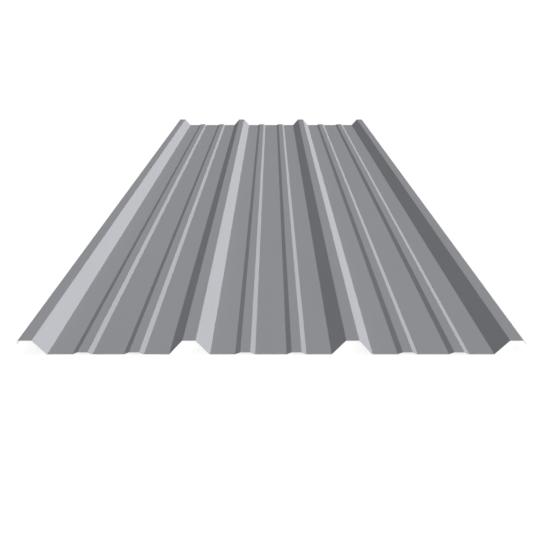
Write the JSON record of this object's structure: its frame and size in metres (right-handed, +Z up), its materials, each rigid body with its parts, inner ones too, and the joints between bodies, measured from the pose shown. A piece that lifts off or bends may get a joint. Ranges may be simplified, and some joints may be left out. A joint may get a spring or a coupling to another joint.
{
  "type": "trapezoidal ribbed metal sheet",
  "caption": "Flat-lying roofing or wall sheet of roll-formed painted steel, with tall trapezoidal ribs, low stiffening ribs in the pans and lipped side laps.",
  "frame": {"origin": "underside of the pans, at the middle of the sheet's length and overall width", "axes": "+X across the sheet towards the overlap edge, +Y along the ribs, +Z up from the pans to the ribs"},
  "size_m": [0.9502, 2.4384, 0.0296],
  "materials": {
    "painted_steel": "smooth low-gloss grey paint"
  },
  "bodies": {
    "root": {"ribbed_sheet": "painted_steel"}
  },
  "joints": []
}
